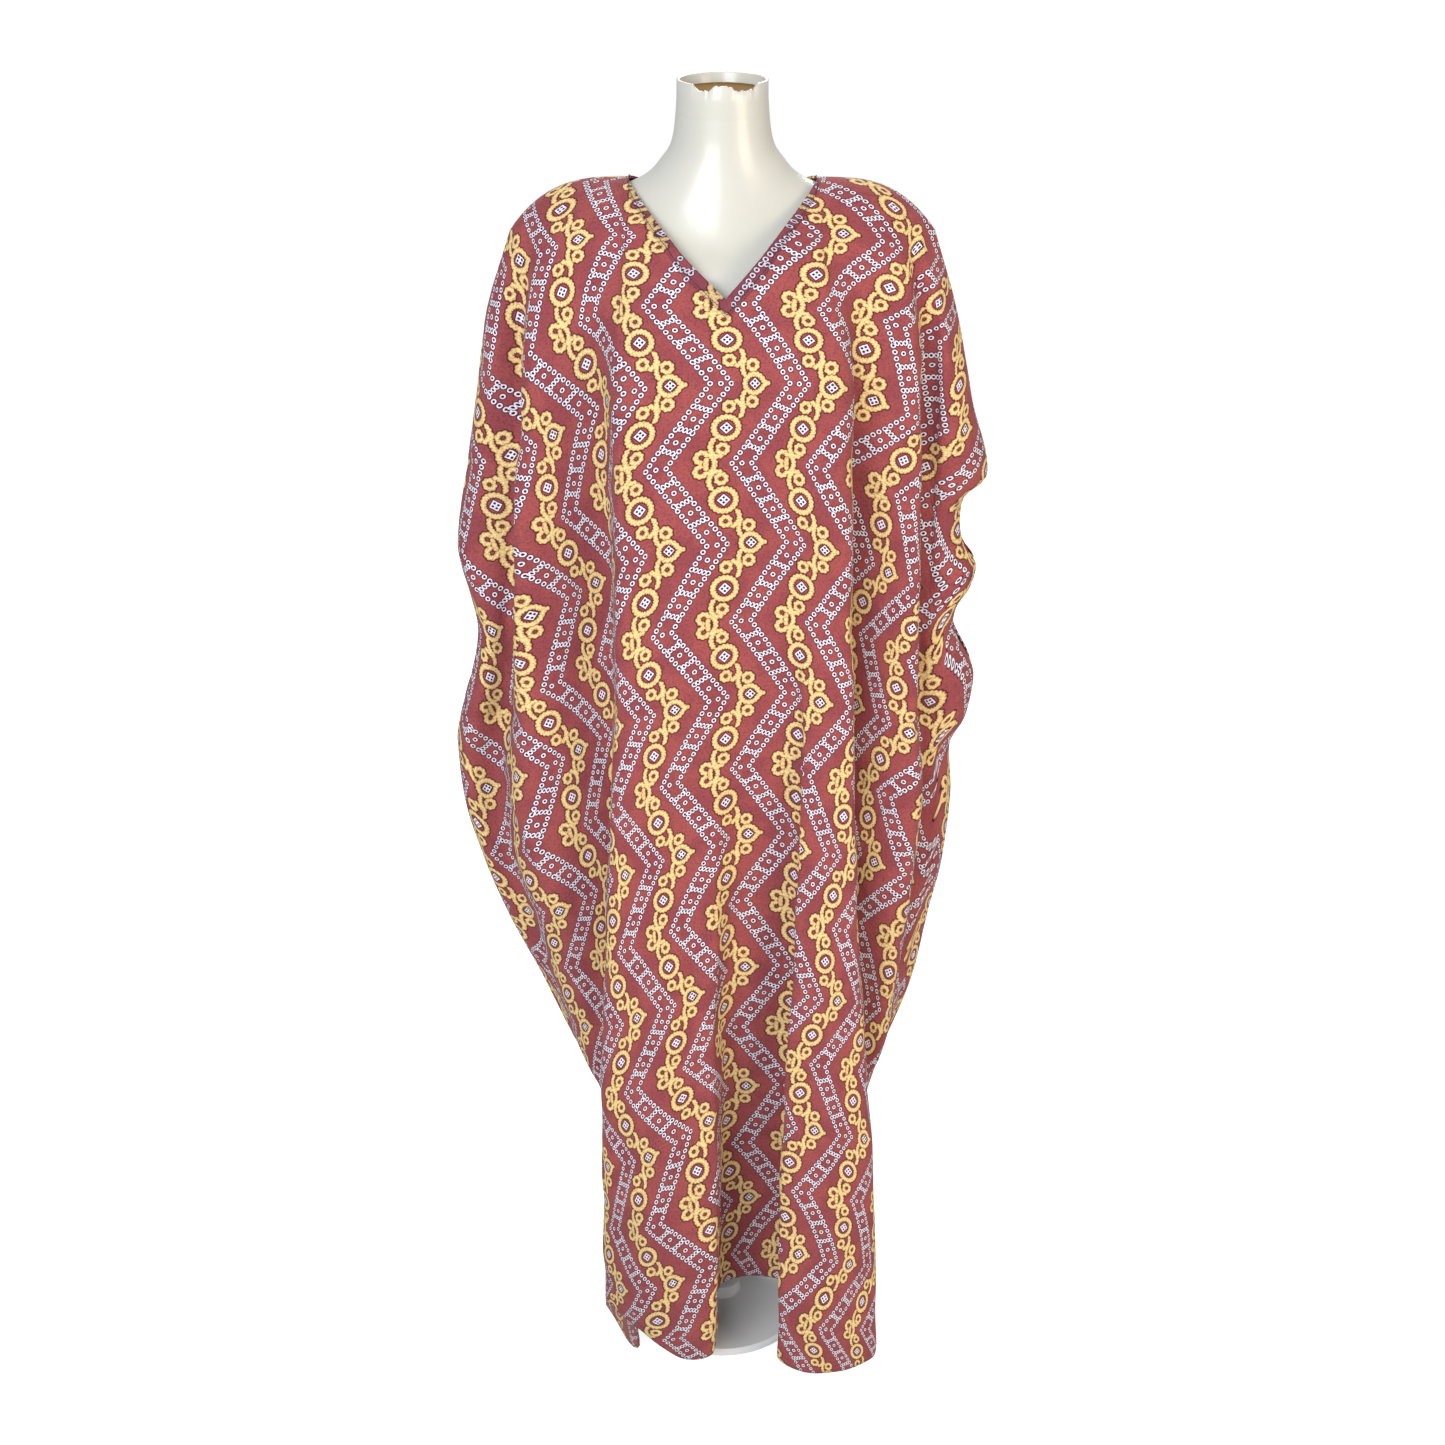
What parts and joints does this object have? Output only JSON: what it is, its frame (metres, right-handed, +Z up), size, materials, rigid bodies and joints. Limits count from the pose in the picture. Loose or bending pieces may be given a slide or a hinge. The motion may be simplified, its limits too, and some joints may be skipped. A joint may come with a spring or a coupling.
{
  "type": "kaftan on a dress form",
  "caption": "Long V-necked, wide-sleeved printed cotton kaftan hanging in folds on a glossy armless dress form with a neck cap, pole and round base.",
  "frame": {"origin": "on the floor under the middle of the neck, 30 mm in front of the stand's axis", "axes": "+Z up, the garment's front faces -Y, and +X is the right-hand side as seen from the front"},
  "size_m": [0.567, 0.2989, 1.56],
  "materials": {
    "printed_cotton": "printed plain weave",
    "neck_binding": "plain weave, topstitched",
    "form_gloss": "gloss",
    "cap_wood": "stained",
    "stand_white": "satin"
  },
  "bodies": {
    "root": {"kaftan_front": "printed_cotton", "kaftan_back": "printed_cotton", "neck_band_left": "neck_binding", "neck_band_right": "neck_binding", "neck_band_back": "neck_binding", "form_torso": "form_gloss", "form_neck_rim": "form_gloss", "form_neck_cap": "cap_wood", "stand_flange": "stand_white", "stand_pole": "stand_white", "stand_base": "stand_white"}
  },
  "joints": []
}
